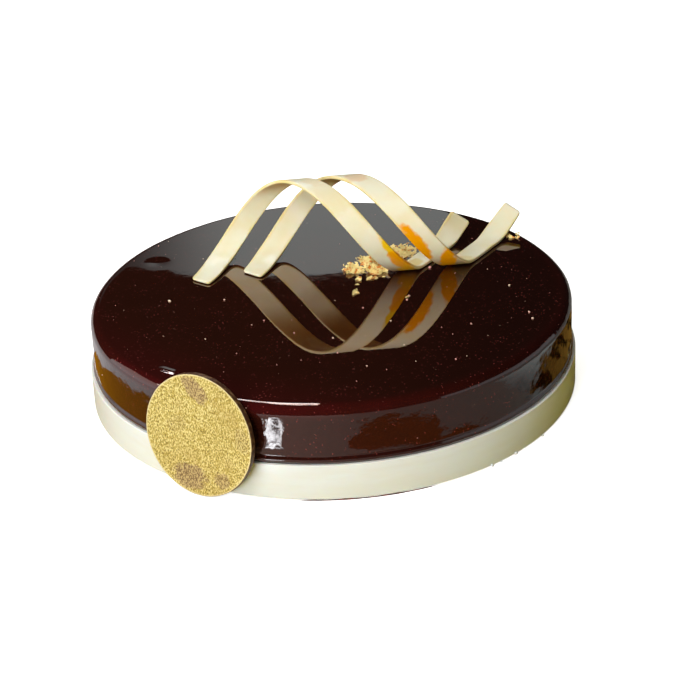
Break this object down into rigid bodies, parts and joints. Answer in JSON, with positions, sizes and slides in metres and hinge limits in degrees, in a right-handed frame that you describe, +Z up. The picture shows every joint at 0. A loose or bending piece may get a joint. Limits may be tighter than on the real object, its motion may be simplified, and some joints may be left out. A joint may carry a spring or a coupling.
{
  "type": "sachertorte cake",
  "caption": "Round uncut chocolate-glazed torte wrapped in a white chocolate band, with white chocolate curls and gold leaf on top and a gilded disc leaning on its side.",
  "frame": {"origin": "centre of the torte's flat underside", "axes": "+Z up, the side served to the front facing -Y"},
  "size_m": [0.24, 0.2421, 0.0934],
  "materials": {
    "dark_glaze": "poured dark chocolate mirror glaze over chocolate sponge, almost black with a red-brown depth",
    "white_chocolate": "smooth satin ivory white chocolate",
    "curl_chocolate": "satin cream white chocolate with a few orange smears",
    "edible_gold": "edible gold: grainy dust on the dark chocolate disc, worn through in places, and crinkled leaf on the glaze"
  },
  "bodies": {
    "root": {"glazed_torte": "dark_glaze", "white_chocolate_band": "white_chocolate", "curl_front": "curl_chocolate", "curl_back": "curl_chocolate", "gold_disc": "edible_gold"}
  },
  "joints": []
}
